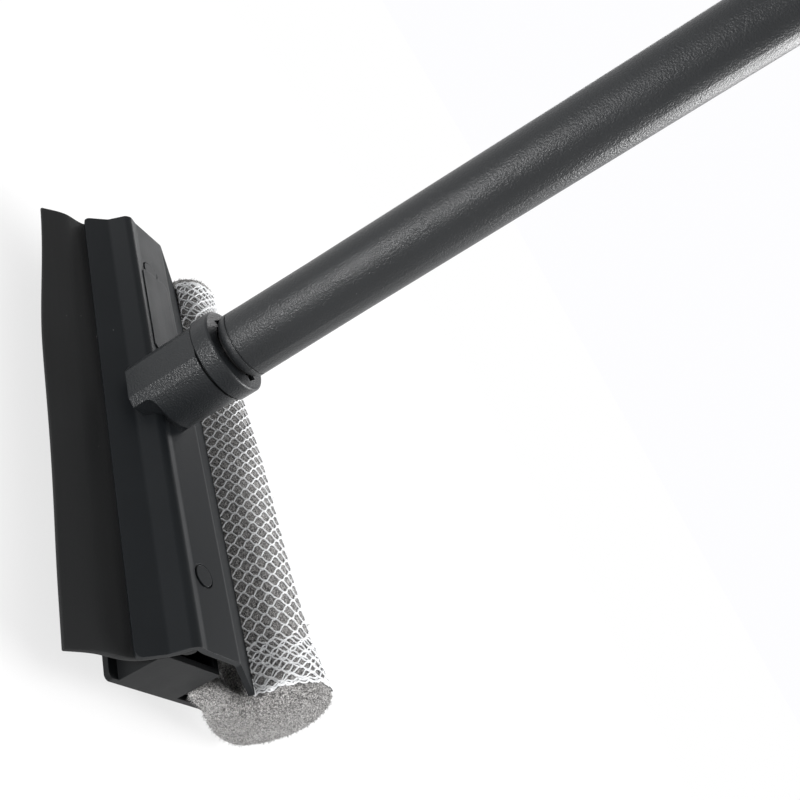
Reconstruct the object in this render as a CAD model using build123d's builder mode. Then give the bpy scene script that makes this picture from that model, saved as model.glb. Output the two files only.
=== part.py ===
from build123d import *
import os
from math import atan2, cos, sin

os.makedirs("parts", exist_ok=True)

# Window cleaning squeegee. Millimetres.
# +X runs along the head, +Y from the rubber blade to the sponge, +Z up along the handle.
# The origin is under the middle of the whole object, at the level of the sponge's lowest point.
# Section dimensions of the head are measured from the handle's axis and from the housing's flat roof.

# ---- driving dimensions -------------------------------------------------------------------------
HEAD_LENGTH = 204.5             # nominal 8 inch head
AXIS_Y = -22.4                  # handle's axis, from the middle of the head's width
ROOF_Z = 39.5                   # flat roof of the housing, above the sponge's lowest point
WALL = 2.0                      # moulded wall thickness
SLIDE_GAP = 0.06                # radial running clearance of parts that slide in each other
SEAT_GAP = 0.02                 # clearance of parts that are pressed together
MATCH = 0.01                    # edge lengths closer than this count as equal

LIP = (-14.6, -13.8)            # housing's edge over the blade
RIDGE_BASE = (-7.4, -7.2)       # concave corner between the flange and the ridge
RIDGE_FACE = (-4.2, -0.6)       # upper end of the ridge's steep face
RIDGE_TOP = (-2.2, 0.8)         # crown of the ridge
ROOF_START = (1.6, 0.0)
ROOF_END = (18.4, 0.0)
SKIRT_EDGE = (46.2, -13.6)      # housing's edge over the sponge
OUTLINE = (LIP, RIDGE_BASE, RIDGE_FACE, RIDGE_TOP, ROOF_START, ROOF_END, SKIRT_EDGE)
OUTLINE_RADII = (3.0, 2.8, 2.4, 5.0, 3.0)
LIP_CORNER_RADIUS = 2.5         # corners of the housing seen from above
SKIRT_CORNER_RADIUS = 5.0

PANEL_SIZE = (46.0, 15.0)       # blank raised panel on the roof
PANEL_CENTRE = (-49.0, 8.2)
PANEL_RADIUS = 2.5
PANEL_RAISE = 0.6
GROOVE_WIDTH = 0.7              # fine groove round the panel and the marks
GROOVE_DEPTH = 0.6
MARK_X = 74.5                   # moulded marks and guide pins, each side of the middle
MARK_Y = 6.5
MARK_RADIUS = 3.8
MARK_RAISE = 0.3
PIN_RADIUS = 3.0
PIN_TIP_Z = -22.0

BLADE_THICKNESS = 2.0
BEAD_RADIUS = 2.3
BEAD_CENTRE = (-1.1, -4.5)
BLADE_KINK = (-4.6, -9.3)       # the web passes the ridge's inner corner here
BLADE_EXIT = (-12.5, -16.4)     # the web leaves the flange here
BLADE_MIDDLE = (-22.5, -18.9)
BLADE_TIP = (-32.4, -23.4)
BLADE_RADII = (2.0, 8.0, 60.0)

PLATE_TOP_Z = -27.4             # clamp insert: front plate and the box on it
PLATE_LEFT = -10.0
PLATE_RIGHT = 42.8
PLATE_CORNER_RADIUS = 2.0
INSERT_LENGTH = 202.0
BOX_LEFT = -6.0
BOX_RIGHT = 21.5
BOX_TOP_Z = -10.2
BOX_CHAMFER = 2.2
BOX_WALL = 2.2
RIB_PLACES = (-50.0, -25.0, 25.0, 50.0)
RIB_THICKNESS = 1.6
RIB_TOP_Z = -14.0
BOSS_RADIUS = 5.0
BOSS_FLOOR_Z = -23.5
GRIP_PLACES = (28.0, 33.0, 38.0)
GRIP_WIDTH = 1.2
GRIP_HEIGHT = 0.7

SPONGE_LENGTH = 211.0
SPONGE_CENTRE = (62.0, -19.5)
SPONGE_SIZE = (30.0, 38.6)
SPONGE_RADIUS = 14.8
SPONGE_END_RADIUS = 8.0
TONGUE = ((24.6, -26.2), (24.6, -6.4), (42.8, -16.0), (52.0, -16.0), (52.0, -26.2))
TONGUE_LENGTH = 201.0
NET_GAP = 0.1
NET_THICKNESS = 0.6
NET_NEAR_X = 99.5
NET_FAR_X = -101.0
NET_MOUTH = (-26.6, -15.6)      # the net's two edges enter between the skirt and the plate here

SOCKET_RADIUS = 15.3
COLLAR_RADIUS = 16.4
COLLAR_EDGE_RADIUS = 1.0
COLLAR_START_Z = 26.0
SOCKET_TOP_Z = 33.2
SOCKET_FLOOR_Z = 9.0
BORE_RADIUS = 10.5
FACET_Y = -13.7                 # flat facet on the blade side
SIDE_FACET_ANGLE = 31.3         # narrow facets on both sides of it, degrees round the axis
SIDE_FACET_DISTANCE = 15.0      # and from the axis
FOOT_DROP = -4.6                # the foot reaches this far down in front of the ridge
FOOT_HALF_FRONT = 9.6           # half width of the foot at the facet
FOOT_HALF_REAR = 12.4           # half width of the foot at the sponge side
UNDERCUT_CORNER_Z = 3.2         # the arch beside the foot: its corner, its outer end and its radius
UNDERCUT_TOP_Z = 5.4
UNDERCUT_RADIUS = 3.0
KEYWAY_SIZE = (5.0, 2.0, 6.0)   # width, depth beyond the bore, length from the mouth
KEY_ANGLE = 40.0                # the two keys lie on this line, degrees from the head's length

SCREW_X = 6.0
SCREW_Y = 7.0
SCREW_RADIUS = 1.75
SCREW_TIP_Z = 6.5
SCREW_HEAD_RADIUS = 3.4
SCREW_HEAD_HEIGHT = 2.2
SCREW_SLOT = (4.4, 0.9, 0.9)

TUBE_RADIUS = 12.35
TUBE_SWELL_RADIUS = 12.65       # the tube is a little fuller behind its shoulder
TUBE_SWELL_END_Z = 82.0
TUBE_WALL = 1.6
TUBE_GROOVE_Z = 38.2            # fine groove round the tube behind its shoulder
TUBE_GROOVE_WIDTH = 0.5
TUBE_START_Z = 34.0
TUBE_LENGTH = 462.0
SHOULDER_RADIUS = 3.0

SPIGOT_RADIUS = 9.2
SPIGOT_TIP_Z = 10.5
SPIGOT_CHAMFER = 1.2
RING_COUNT = 5
RING_START_Z = 12.6
RING_PITCH = 4.0
RING_WIDTH = 1.8
PLUG_LENGTH = 34.0

CAP_PLUG_LENGTH = 22.0
CAP_RADIUS = 13.0
CAP_HEIGHT = 6.0
EYE_THICKNESS = 8.0
EYE_RADIUS = 11.0
EYE_RISE = 13.0                 # from the cap's top to the hole's centre
EYE_HOLE_RADIUS = 4.0
EYE_EDGE_RADIUS = 1.5

# ---- derived places -----------------------------------------------------------------------------
HALF_HEAD = HEAD_LENGTH / 2
TUBE_END_Z = TUBE_START_Z + TUBE_LENGTH
TUBE_BORE_RADIUS = TUBE_RADIUS - TUBE_WALL
CAP_TOP_Z = TUBE_END_Z + CAP_HEIGHT
SECTION = Plane(origin=(0, AXIS_Y, ROOF_Z), x_dir=(0, 1, 0), z_dir=(1, 0, 0))
PROFILE = Plane(origin=(0, AXIS_Y, ROOF_Z), x_dir=(1, 0, 0), z_dir=(0, -1, 0))
HANDLE_AXIS = Axis((0, AXIS_Y, 0), (0, 0, 1))
FACETS = (
    (0.0, -FACET_Y),
    (-SIDE_FACET_ANGLE, SIDE_FACET_DISTANCE),
    (SIDE_FACET_ANGLE, SIDE_FACET_DISTANCE),
)


def level(height, x=0.0, y=0.0):
    """Horizontal plane at a height above the roof, moved by x and y from the handle's axis."""
    return Plane(origin=(x, AXIS_Y + y, ROOF_Z + height), x_dir=(1, 0, 0), z_dir=(0, 0, 1))


def crosses_wall(edge):
    """True for an edge that runs straight through one wall thickness."""
    return abs(edge.length - WALL) < MATCH


# ---- back housing: one moulded shell, open at the front and at both ends --------------------------
with BuildPart() as back_housing:
    with BuildSketch(SECTION):
        with BuildLine():
            outline = FilletPolyline(*OUTLINE, radius=OUTLINE_RADII)
            offset(outline, amount=WALL, side=Side.RIGHT)
        make_face()
    extrude(amount=HALF_HEAD, both=True)
    for row, radius in ((0, LIP_CORNER_RADIUS), (-1, SKIRT_CORNER_RADIUS)):
        wall_edges = back_housing.edges().filter_by(crosses_wall)
        fillet(wall_edges.group_by(Axis.Y)[row], radius=radius)
    with BuildSketch(level(-GROOVE_DEPTH)):
        with Locations(PANEL_CENTRE):
            RectangleRounded(
                PANEL_SIZE[0] + 2 * GROOVE_WIDTH, PANEL_SIZE[1] + 2 * GROOVE_WIDTH, PANEL_RADIUS + GROOVE_WIDTH
            )
        with Locations((-MARK_X, MARK_Y), (MARK_X, MARK_Y)):
            Circle(MARK_RADIUS + GROOVE_WIDTH)
    extrude(amount=GROOVE_DEPTH, mode=Mode.SUBTRACT)
    with BuildSketch(level(-WALL / 2, *PANEL_CENTRE)):
        RectangleRounded(*PANEL_SIZE, PANEL_RADIUS)
    extrude(amount=WALL / 2 + PANEL_RAISE)
    for side in (-1, 1):
        with BuildSketch(level(-WALL / 2, side * MARK_X, MARK_Y)):
            Circle(MARK_RADIUS)
        extrude(amount=WALL / 2 + MARK_RAISE)
        with BuildSketch(level(-WALL / 2, side * MARK_X, MARK_Y)):
            Circle(PIN_RADIUS)
        extrude(amount=PIN_TIP_Z + WALL / 2)
        with BuildSketch(level(-2 * WALL, side * SCREW_X, SCREW_Y)):
            Circle(SCREW_RADIUS)
        extrude(amount=2 * WALL, mode=Mode.SUBTRACT)

back_housing.part.label = "back_housing"
export_step(back_housing.part, "parts/back_housing.step")


# ---- rubber blade: bead in the ridge, web under the flange, free lip -------------------------------
with BuildPart() as rubber_blade:
    with BuildSketch(SECTION):
        with BuildLine():
            FilletPolyline(BEAD_CENTRE, BLADE_KINK, BLADE_EXIT, BLADE_MIDDLE, BLADE_TIP, radius=BLADE_RADII)
        trace(line_width=BLADE_THICKNESS)
        with Locations(BEAD_CENTRE):
            Circle(BEAD_RADIUS)
    extrude(amount=HALF_HEAD, both=True)

rubber_blade.part.label = "rubber_blade"
export_step(rubber_blade.part, "parts/rubber_blade.step")


# ---- clamp insert: front plate with a ribbed box that closes the head ------------------------------
BOX_CORNERS = (
    (BOX_LEFT, PLATE_TOP_Z),
    (BOX_LEFT, BOX_TOP_Z - BOX_CHAMFER),
    (BOX_LEFT + BOX_CHAMFER, BOX_TOP_Z),
    (BOX_RIGHT, BOX_TOP_Z),
    (BOX_RIGHT, PLATE_TOP_Z),
)

with BuildPart() as clamp_insert:
    with BuildSketch(SECTION):
        with BuildLine():
            Polyline(*BOX_CORNERS, close=True)
        make_face()
    extrude(amount=INSERT_LENGTH / 2, both=True)
    with BuildSketch(level(PLATE_TOP_Z, 0, (BOX_LEFT + BOX_RIGHT) / 2)):
        Rectangle(INSERT_LENGTH - 2 * BOX_WALL, BOX_RIGHT - BOX_LEFT - 2 * BOX_WALL)
    extrude(amount=BOX_TOP_Z - PLATE_TOP_Z, mode=Mode.SUBTRACT)
    with BuildSketch(SECTION):
        with Locations(((PLATE_LEFT + PLATE_RIGHT) / 2, PLATE_TOP_Z - WALL / 2)):
            Rectangle(PLATE_RIGHT - PLATE_LEFT, WALL)
        with Locations([(place, PLATE_TOP_Z + GRIP_HEIGHT / 2) for place in GRIP_PLACES]):
            Rectangle(GRIP_WIDTH, GRIP_HEIGHT)
    extrude(amount=INSERT_LENGTH / 2, both=True)
    for place in RIB_PLACES:
        with BuildSketch(level(PLATE_TOP_Z, place, (BOX_LEFT + BOX_RIGHT) / 2)):
            Rectangle(RIB_THICKNESS, BOX_RIGHT - BOX_LEFT - WALL)
        extrude(amount=RIB_TOP_Z - PLATE_TOP_Z)
    for side in (-1, 1):
        with BuildSketch(level(PLATE_TOP_Z, side * MARK_X, MARK_Y)):
            Circle(BOSS_RADIUS)
        extrude(amount=BOX_TOP_Z - PLATE_TOP_Z)
        with BuildSketch(level(BOSS_FLOOR_Z, side * MARK_X, MARK_Y)):
            Circle(PIN_RADIUS + SLIDE_GAP)
        extrude(amount=BOX_TOP_Z - BOSS_FLOOR_Z, mode=Mode.SUBTRACT)
    plate_corners = clamp_insert.edges().filter_by(Axis.Z).filter_by(crosses_wall)
    fillet(plate_corners, radius=PLATE_CORNER_RADIUS)

clamp_insert.part.label = "clamp_insert"
export_step(clamp_insert.part, "parts/clamp_insert.step")


# ---- foam sponge: a rounded roll with a tongue between the skirt and the plate ---------------------
with BuildPart() as foam_sponge:
    with BuildSketch(SECTION):
        with Locations(SPONGE_CENTRE):
            RectangleRounded(*SPONGE_SIZE, SPONGE_RADIUS)
    extrude(amount=SPONGE_LENGTH / 2, both=True)
    roll_ends = foam_sponge.faces().filter_by(Axis.X).edges()
    fillet(roll_ends, radius=SPONGE_END_RADIUS)
    with BuildSketch(SECTION):
        with BuildLine():
            Polyline(*TONGUE, close=True)
        make_face()
    extrude(amount=TONGUE_LENGTH / 2, both=True)

foam_sponge.part.label = "foam_sponge"
export_step(foam_sponge.part, "parts/foam_sponge.step")


# ---- net cover: a thin sleeve round the roll, open where the tongue leaves it ----------------------
with BuildPart() as net_cover:
    with BuildSketch(Plane(SECTION.origin + Vector(NET_FAR_X, 0, 0), SECTION.x_dir, SECTION.z_dir)):
        with Locations(SPONGE_CENTRE):
            inner = 2 * NET_GAP
            outer = 2 * (NET_GAP + NET_THICKNESS)
            RectangleRounded(SPONGE_SIZE[0] + outer, SPONGE_SIZE[1] + outer, SPONGE_RADIUS + outer / 2)
            RectangleRounded(
                SPONGE_SIZE[0] + inner, SPONGE_SIZE[1] + inner, SPONGE_RADIUS + inner / 2, mode=Mode.SUBTRACT
            )
        with Locations((SPONGE_CENTRE[0] - SPONGE_SIZE[0] / 2, sum(NET_MOUTH) / 2)):
            Rectangle(SPONGE_SIZE[0] / 2, NET_MOUTH[1] - NET_MOUTH[0], mode=Mode.SUBTRACT)
    extrude(amount=NET_NEAR_X - NET_FAR_X)

net_cover.part.label = "net_cover"
export_step(net_cover.part, "parts/net_cover.step")


# ---- handle socket: foot over the ridge, round body with a flat facet, thick collar ---------------
with BuildPart() as handle_socket:
    with BuildSketch(level(FOOT_DROP)):
        Circle(SOCKET_RADIUS)
    extrude(amount=COLLAR_START_Z - FOOT_DROP)
    for turn, distance in FACETS:
        with BuildSketch(level(FOOT_DROP)):
            with PolarLocations(distance + SOCKET_RADIUS / 2, 1, start_angle=turn - 90):
                Rectangle(SOCKET_RADIUS, 2 * SOCKET_RADIUS)
        extrude(amount=COLLAR_START_Z - FOOT_DROP, mode=Mode.SUBTRACT)
    with BuildSketch(level(COLLAR_START_Z)):
        Circle(COLLAR_RADIUS)
    extrude(amount=SOCKET_TOP_Z - COLLAR_START_Z)
    fillet(handle_socket.edges().group_by(Axis.Z)[-1], radius=COLLAR_EDGE_RADIUS)
    flare = atan2(FOOT_HALF_REAR - FOOT_HALF_FRONT, SOCKET_RADIUS - FACET_Y)
    for side in (-1, 1):
        corner = (side * FOOT_HALF_FRONT, AXIS_Y + FACET_Y, ROOF_Z)
        wedge_plane = Plane(origin=corner, x_dir=(0, 0, 1), z_dir=(side * sin(flare), cos(flare), 0))
        with BuildSketch(wedge_plane):
            with BuildLine():
                FilletPolyline(
                    (2 * FOOT_DROP, 0),
                    (UNDERCUT_CORNER_Z, 0),
                    (UNDERCUT_TOP_Z, side * SOCKET_RADIUS),
                    radius=UNDERCUT_RADIUS,
                )
                Polyline(
                    (UNDERCUT_TOP_Z, side * SOCKET_RADIUS),
                    (2 * FOOT_DROP, side * SOCKET_RADIUS),
                    (2 * FOOT_DROP, 0),
                )
            make_face()
        extrude(amount=3 * SOCKET_RADIUS, both=True, mode=Mode.SUBTRACT)
    with BuildSketch(SECTION):
        with BuildLine():
            FilletPolyline(*OUTLINE, radius=OUTLINE_RADII)
            Polyline(SKIRT_EDGE, (SKIRT_EDGE[0], LIP[1] - SOCKET_RADIUS), (LIP[0], LIP[1] - SOCKET_RADIUS), LIP)
        make_face()
    extrude(amount=2 * SOCKET_RADIUS, both=True, mode=Mode.SUBTRACT)
    with BuildSketch(level(SOCKET_FLOOR_Z)):
        Circle(BORE_RADIUS)
    extrude(amount=SOCKET_TOP_Z - SOCKET_FLOOR_Z, mode=Mode.SUBTRACT)
    with BuildSketch(level(SOCKET_TOP_Z - KEYWAY_SIZE[2])):
        Rectangle(2 * (BORE_RADIUS + KEYWAY_SIZE[1]), KEYWAY_SIZE[0], rotation=KEY_ANGLE)
    extrude(amount=KEYWAY_SIZE[2], mode=Mode.SUBTRACT)
    for side in (-1, 1):
        with BuildSketch(level(-WALL, side * SCREW_X, SCREW_Y)):
            Circle(SCREW_RADIUS)
        extrude(amount=SCREW_TIP_Z + WALL, mode=Mode.SUBTRACT)

handle_socket.part.label = "handle_socket"
export_step(handle_socket.part, "parts/handle_socket.step")


# ---- socket screws: two pan-head screws from inside the housing ------------------------------------
with BuildPart() as socket_screws:
    for side in (-1, 1):
        with BuildSketch(level(-WALL - SCREW_HEAD_HEIGHT, side * SCREW_X, SCREW_Y)):
            Circle(SCREW_HEAD_RADIUS)
        extrude(amount=SCREW_HEAD_HEIGHT)
        with BuildSketch(level(-WALL, side * SCREW_X, SCREW_Y)):
            Circle(SCREW_RADIUS)
        extrude(amount=SCREW_TIP_Z + WALL)
    fillet(socket_screws.edges().group_by(Axis.Z)[0], radius=SCREW_HEAD_HEIGHT / 3)
    for side in (-1, 1):
        for size in (SCREW_SLOT[:2], SCREW_SLOT[1::-1]):
            with BuildSketch(level(-WALL - SCREW_HEAD_HEIGHT, side * SCREW_X, SCREW_Y)):
                Rectangle(*size)
            extrude(amount=SCREW_SLOT[2], mode=Mode.SUBTRACT)

socket_screws.part.label = "socket_screws"
export_step(socket_screws.part, "parts/socket_screws.step")


# ---- handle tube: straight round tube with a rounded shoulder --------------------------------------
with BuildPart() as handle_tube:
    with BuildSketch(PROFILE):
        with BuildLine():
            FilletPolyline(
                (SPIGOT_RADIUS + SEAT_GAP, TUBE_START_Z),
                (TUBE_SWELL_RADIUS, TUBE_START_Z),
                (TUBE_RADIUS, TUBE_SWELL_END_Z),
                radius=SHOULDER_RADIUS,
            )
            Polyline(
                (TUBE_RADIUS, TUBE_SWELL_END_Z),
                (TUBE_RADIUS, TUBE_END_Z),
                (TUBE_BORE_RADIUS, TUBE_END_Z),
                (TUBE_BORE_RADIUS, TUBE_START_Z + WALL),
                (SPIGOT_RADIUS + SEAT_GAP, TUBE_START_Z + WALL),
                (SPIGOT_RADIUS + SEAT_GAP, TUBE_START_Z),
            )
        make_face()
        with Locations((TUBE_SWELL_RADIUS, TUBE_GROOVE_Z)):
            Rectangle(2 * TUBE_GROOVE_WIDTH, TUBE_GROOVE_WIDTH, mode=Mode.SUBTRACT)
    revolve(axis=HANDLE_AXIS)

handle_tube.part.label = "handle_tube"
export_step(handle_tube.part, "parts/handle_tube.step")


# ---- handle spigot: ringed neck that pushes into the socket, with two keys -------------------------
with BuildPart() as handle_spigot:
    with BuildSketch(level(SPIGOT_TIP_Z)):
        Circle(SPIGOT_RADIUS)
    extrude(amount=TUBE_START_Z + WALL - SPIGOT_TIP_Z)
    chamfer(handle_spigot.edges().group_by(Axis.Z)[0], length=SPIGOT_CHAMFER)
    for ring in range(RING_COUNT):
        with BuildSketch(level(RING_START_Z + ring * RING_PITCH)):
            Circle(BORE_RADIUS - SLIDE_GAP)
        extrude(amount=RING_WIDTH)
    with BuildSketch(level(SOCKET_TOP_Z - KEYWAY_SIZE[2] + 2 * SLIDE_GAP)):
        key_length = 2 * (BORE_RADIUS + KEYWAY_SIZE[1] - 2 * SLIDE_GAP)
        Rectangle(key_length, KEYWAY_SIZE[0] - 4 * SLIDE_GAP, rotation=KEY_ANGLE)
    extrude(amount=KEYWAY_SIZE[2] / 2)
    with BuildSketch(level(TUBE_START_Z + WALL + SEAT_GAP)):
        Circle(TUBE_BORE_RADIUS - SEAT_GAP)
    extrude(amount=PLUG_LENGTH)
    with BuildSketch(level(TUBE_START_Z)):
        Circle(SPIGOT_RADIUS)
    extrude(amount=WALL + 2 * SEAT_GAP)

handle_spigot.part.label = "handle_spigot"
export_step(handle_spigot.part, "parts/handle_spigot.step")


# ---- hang cap: plug in the tube's far end with a flat hanging eye ----------------------------------
with BuildPart() as hang_cap:
    with BuildSketch(level(TUBE_END_Z - CAP_PLUG_LENGTH)):
        Circle(TUBE_BORE_RADIUS - SEAT_GAP)
    extrude(amount=CAP_PLUG_LENGTH)
    with BuildSketch(level(TUBE_END_Z)):
        Circle(CAP_RADIUS)
    extrude(amount=CAP_HEIGHT)
    fillet(hang_cap.edges().group_by(Axis.Z)[-1], radius=CAP_HEIGHT / 2)
    with BuildSketch(SECTION):
        with Locations((0, CAP_TOP_Z + EYE_RISE)):
            Circle(EYE_RADIUS)
        with Locations((0, CAP_TOP_Z + EYE_RISE / 2 - CAP_HEIGHT / 4)):
            Rectangle(2 * EYE_RADIUS, EYE_RISE + CAP_HEIGHT / 2)
    extrude(amount=EYE_THICKNESS / 2, both=True)
    fillet(hang_cap.edges().group_by(Axis.Z)[-1], radius=EYE_EDGE_RADIUS)
    with BuildSketch(SECTION):
        with Locations((0, CAP_TOP_Z + EYE_RISE)):
            Circle(EYE_HOLE_RADIUS)
    extrude(amount=EYE_THICKNESS, both=True, mode=Mode.SUBTRACT)

hang_cap.part.label = "hang_cap"
export_step(hang_cap.part, "parts/hang_cap.step")
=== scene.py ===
import math

import bpy
import numpy as np
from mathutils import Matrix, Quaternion, Vector, noise
from mathutils.kdtree import KDTree


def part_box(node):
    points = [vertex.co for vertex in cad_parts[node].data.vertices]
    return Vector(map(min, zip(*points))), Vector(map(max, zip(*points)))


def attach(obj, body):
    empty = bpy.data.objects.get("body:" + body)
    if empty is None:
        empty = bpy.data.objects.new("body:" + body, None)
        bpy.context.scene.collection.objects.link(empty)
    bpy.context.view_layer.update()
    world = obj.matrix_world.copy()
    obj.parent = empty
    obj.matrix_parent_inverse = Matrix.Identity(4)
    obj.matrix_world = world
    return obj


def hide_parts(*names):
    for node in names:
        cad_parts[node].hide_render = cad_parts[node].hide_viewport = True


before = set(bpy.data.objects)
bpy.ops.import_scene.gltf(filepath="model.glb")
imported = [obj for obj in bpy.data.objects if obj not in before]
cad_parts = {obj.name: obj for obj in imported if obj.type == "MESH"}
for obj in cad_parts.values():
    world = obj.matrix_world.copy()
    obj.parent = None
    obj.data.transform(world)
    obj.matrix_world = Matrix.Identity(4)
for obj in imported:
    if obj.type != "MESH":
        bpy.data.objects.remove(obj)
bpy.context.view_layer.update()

# Window cleaning squeegee, the looks. Metres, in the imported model's frame.
# Shapes are written in section coordinates: millimetres along the head (x), and from the handle's
# axis (y) and the housing's flat roof (z), as the head is drawn. place() takes them to the frame.

# ---- places from the frame ----------------------------------------------------------------------
MM = 0.001
TUBE_START = 34.0 * MM          # the handle's tube starts this far above the roof
NET_STANDS = 0.7                # outer face of the net cover above the foam
FAR_OVERHANG = 1.8              # the soft net stands this far past its plain length at the far end

housing_high = Vector(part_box("back_housing")[1])
tube_low, tube_high = (Vector(c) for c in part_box("handle_tube"))
net_low, net_high = (Vector(c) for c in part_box("net_cover"))
AXIS_Y = (tube_low.y + tube_high.y) / 2
ROOF_Z = tube_low.z - TUBE_START
HALF_HEAD = housing_high.x / MM
NET_NEAR = net_high.x / MM
NET_FAR = net_low.x / MM - FAR_OVERHANG
ROLL_Y = ((net_low.y + net_high.y) / 2 - AXIS_Y) / MM
ROLL_Z = ((net_low.z + net_high.z) / 2 - ROOF_Z) / MM
ROLL_HALF_WIDTH = (net_high.y - net_low.y) / 2 / MM - NET_STANDS
ROLL_HALF_HEIGHT = (net_high.z - net_low.z) / 2 / MM - NET_STANDS


def place(points):
    """Section coordinates in millimetres, (n, 3), as frame coordinates in metres."""
    return np.asarray(points, float) * MM + np.array([0.0, AXIS_Y, ROOF_Z])


def smoothstep(start, end, value):
    t = np.clip((np.asarray(value, float) - start) / (end - start), 0, 1)
    return t * t * (3 - 2 * t)


def ripple(points, size, seed):
    """Smooth noise from -1 to 1 at points, whose bumps are about size apart."""
    shift = Vector((seed * 7.3, seed * 3.1, seed * 5.7))
    return np.array([noise.noise(Vector(p) / size + shift) for p in points])


def mesh_object(name, verts, faces):
    mesh = bpy.data.meshes.new(name)
    mesh.from_pydata([tuple(v) for v in verts], [], [tuple(f) for f in faces])
    mesh.validate()
    for polygon in mesh.polygons:
        polygon.use_smooth = True
    made = bpy.data.objects.new(name, mesh)
    bpy.context.scene.collection.objects.link(made)
    return made


def grid_faces(rows, columns, closed, first=0):
    """Faces between rows of columns points, each row closed on itself where asked."""
    faces = []
    last = columns if closed else columns - 1
    for r in range(rows - 1):
        for c in range(last):
            d = (c + 1) % columns
            a = first + r * columns
            b = a + columns
            faces.append((a + c, a + d, b + d, b + c))
    return faces


# ---- camera -------------------------------------------------------------------------------------
CAMERA_AT = Vector((0.2278, -0.2393, 0.1837))
CAMERA_AIM = Vector((0.0287, 0.0143, 0.1136))
CAMERA_ROLL = 59.85
CAMERA_LENS = 41.05

camera = bpy.data.objects.new("camera", bpy.data.cameras.new("camera"))
bpy.context.scene.collection.objects.link(camera)
camera.location = CAMERA_AT
camera.rotation_mode = "QUATERNION"
looking = (CAMERA_AIM - CAMERA_AT).to_track_quat("-Z", "Y")
camera.rotation_quaternion = looking @ Quaternion((0, 0, 1), math.radians(CAMERA_ROLL))
camera.data.lens = CAMERA_LENS
camera.data.clip_start = 0.01
bpy.context.scene.camera = camera
bpy.context.scene.view_settings.view_transform = "Standard"


# ---- light and floor ----------------------------------------------------------------------------
TENT = (                        # (height of the direction looked in, strength)
    (0.0, 1.0),
    (0.33, 1.0),
    (0.42, 0.42),
    (0.52, 0.24),
)
TENT_COOL = 0.985               # red and green, as a share of blue
ZENITH = (1.0, 1.0, 1.0, 1)     # from the last of those heights the tent brightens again, up to this
FLOOR_SIZE = 12.0
FLOOR_Z = -0.002
SHADOW_RADIUS = (0.35, 1.1)     # the floor takes shadows inside the first, and is plain past the second
FLOOR_GLOW = 0.72               # share of even white under the object
SOFTBOXES = (
    # name, from, aimed at, width, height, watts
    ("key", (0.34, 1.0, 0.70), (0.0, 0.02, 0.03), 0.8, 0.5, 21.0),
    ("sheen", (-0.95, 0.60, 0.42), (-0.05, 0.0, 0.04), 0.3, 0.3, 1.0),
    ("low front", (0.20, -0.58, 0.03), (0.0, -0.02, 0.07), 0.10, 0.24, 5.0),
)

world = bpy.data.worlds.new("light_tent")
bpy.context.scene.world = world
world.use_nodes = True
sky = world.node_tree
direction = sky.nodes.new("ShaderNodeTexCoord").outputs["Generated"]
heights = sky.nodes.new("ShaderNodeSeparateXYZ")
ramp = sky.nodes.new("ShaderNodeValToRGB")
stops = ramp.color_ramp.elements
stops[-1].position = 1.0
stops[-1].color = ZENITH
for step, (height, strength) in enumerate(TENT):
    stop = stops[0] if step == 0 else stops.new(height)
    stop.position = height
    stop.color = (strength * TENT_COOL, strength * TENT_COOL, strength, 1)
sky.links.new(direction, heights.inputs[0])
sky.links.new(heights.outputs["Z"], ramp.inputs[0])
sky.links.new(ramp.outputs["Color"], sky.nodes["Background"].inputs["Color"])

for name, start, aim, width, height, watts in SOFTBOXES:
    softbox = bpy.data.objects.new(name, bpy.data.lights.new(name, "AREA"))
    bpy.context.scene.collection.objects.link(softbox)
    softbox.data.shape = "RECTANGLE"
    softbox.data.size = width
    softbox.data.size_y = height
    softbox.data.energy = watts
    softbox.location = start
    softbox.rotation_mode = "QUATERNION"
    softbox.rotation_quaternion = (Vector(aim) - Vector(start)).to_track_quat("-Z", "Y")


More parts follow.
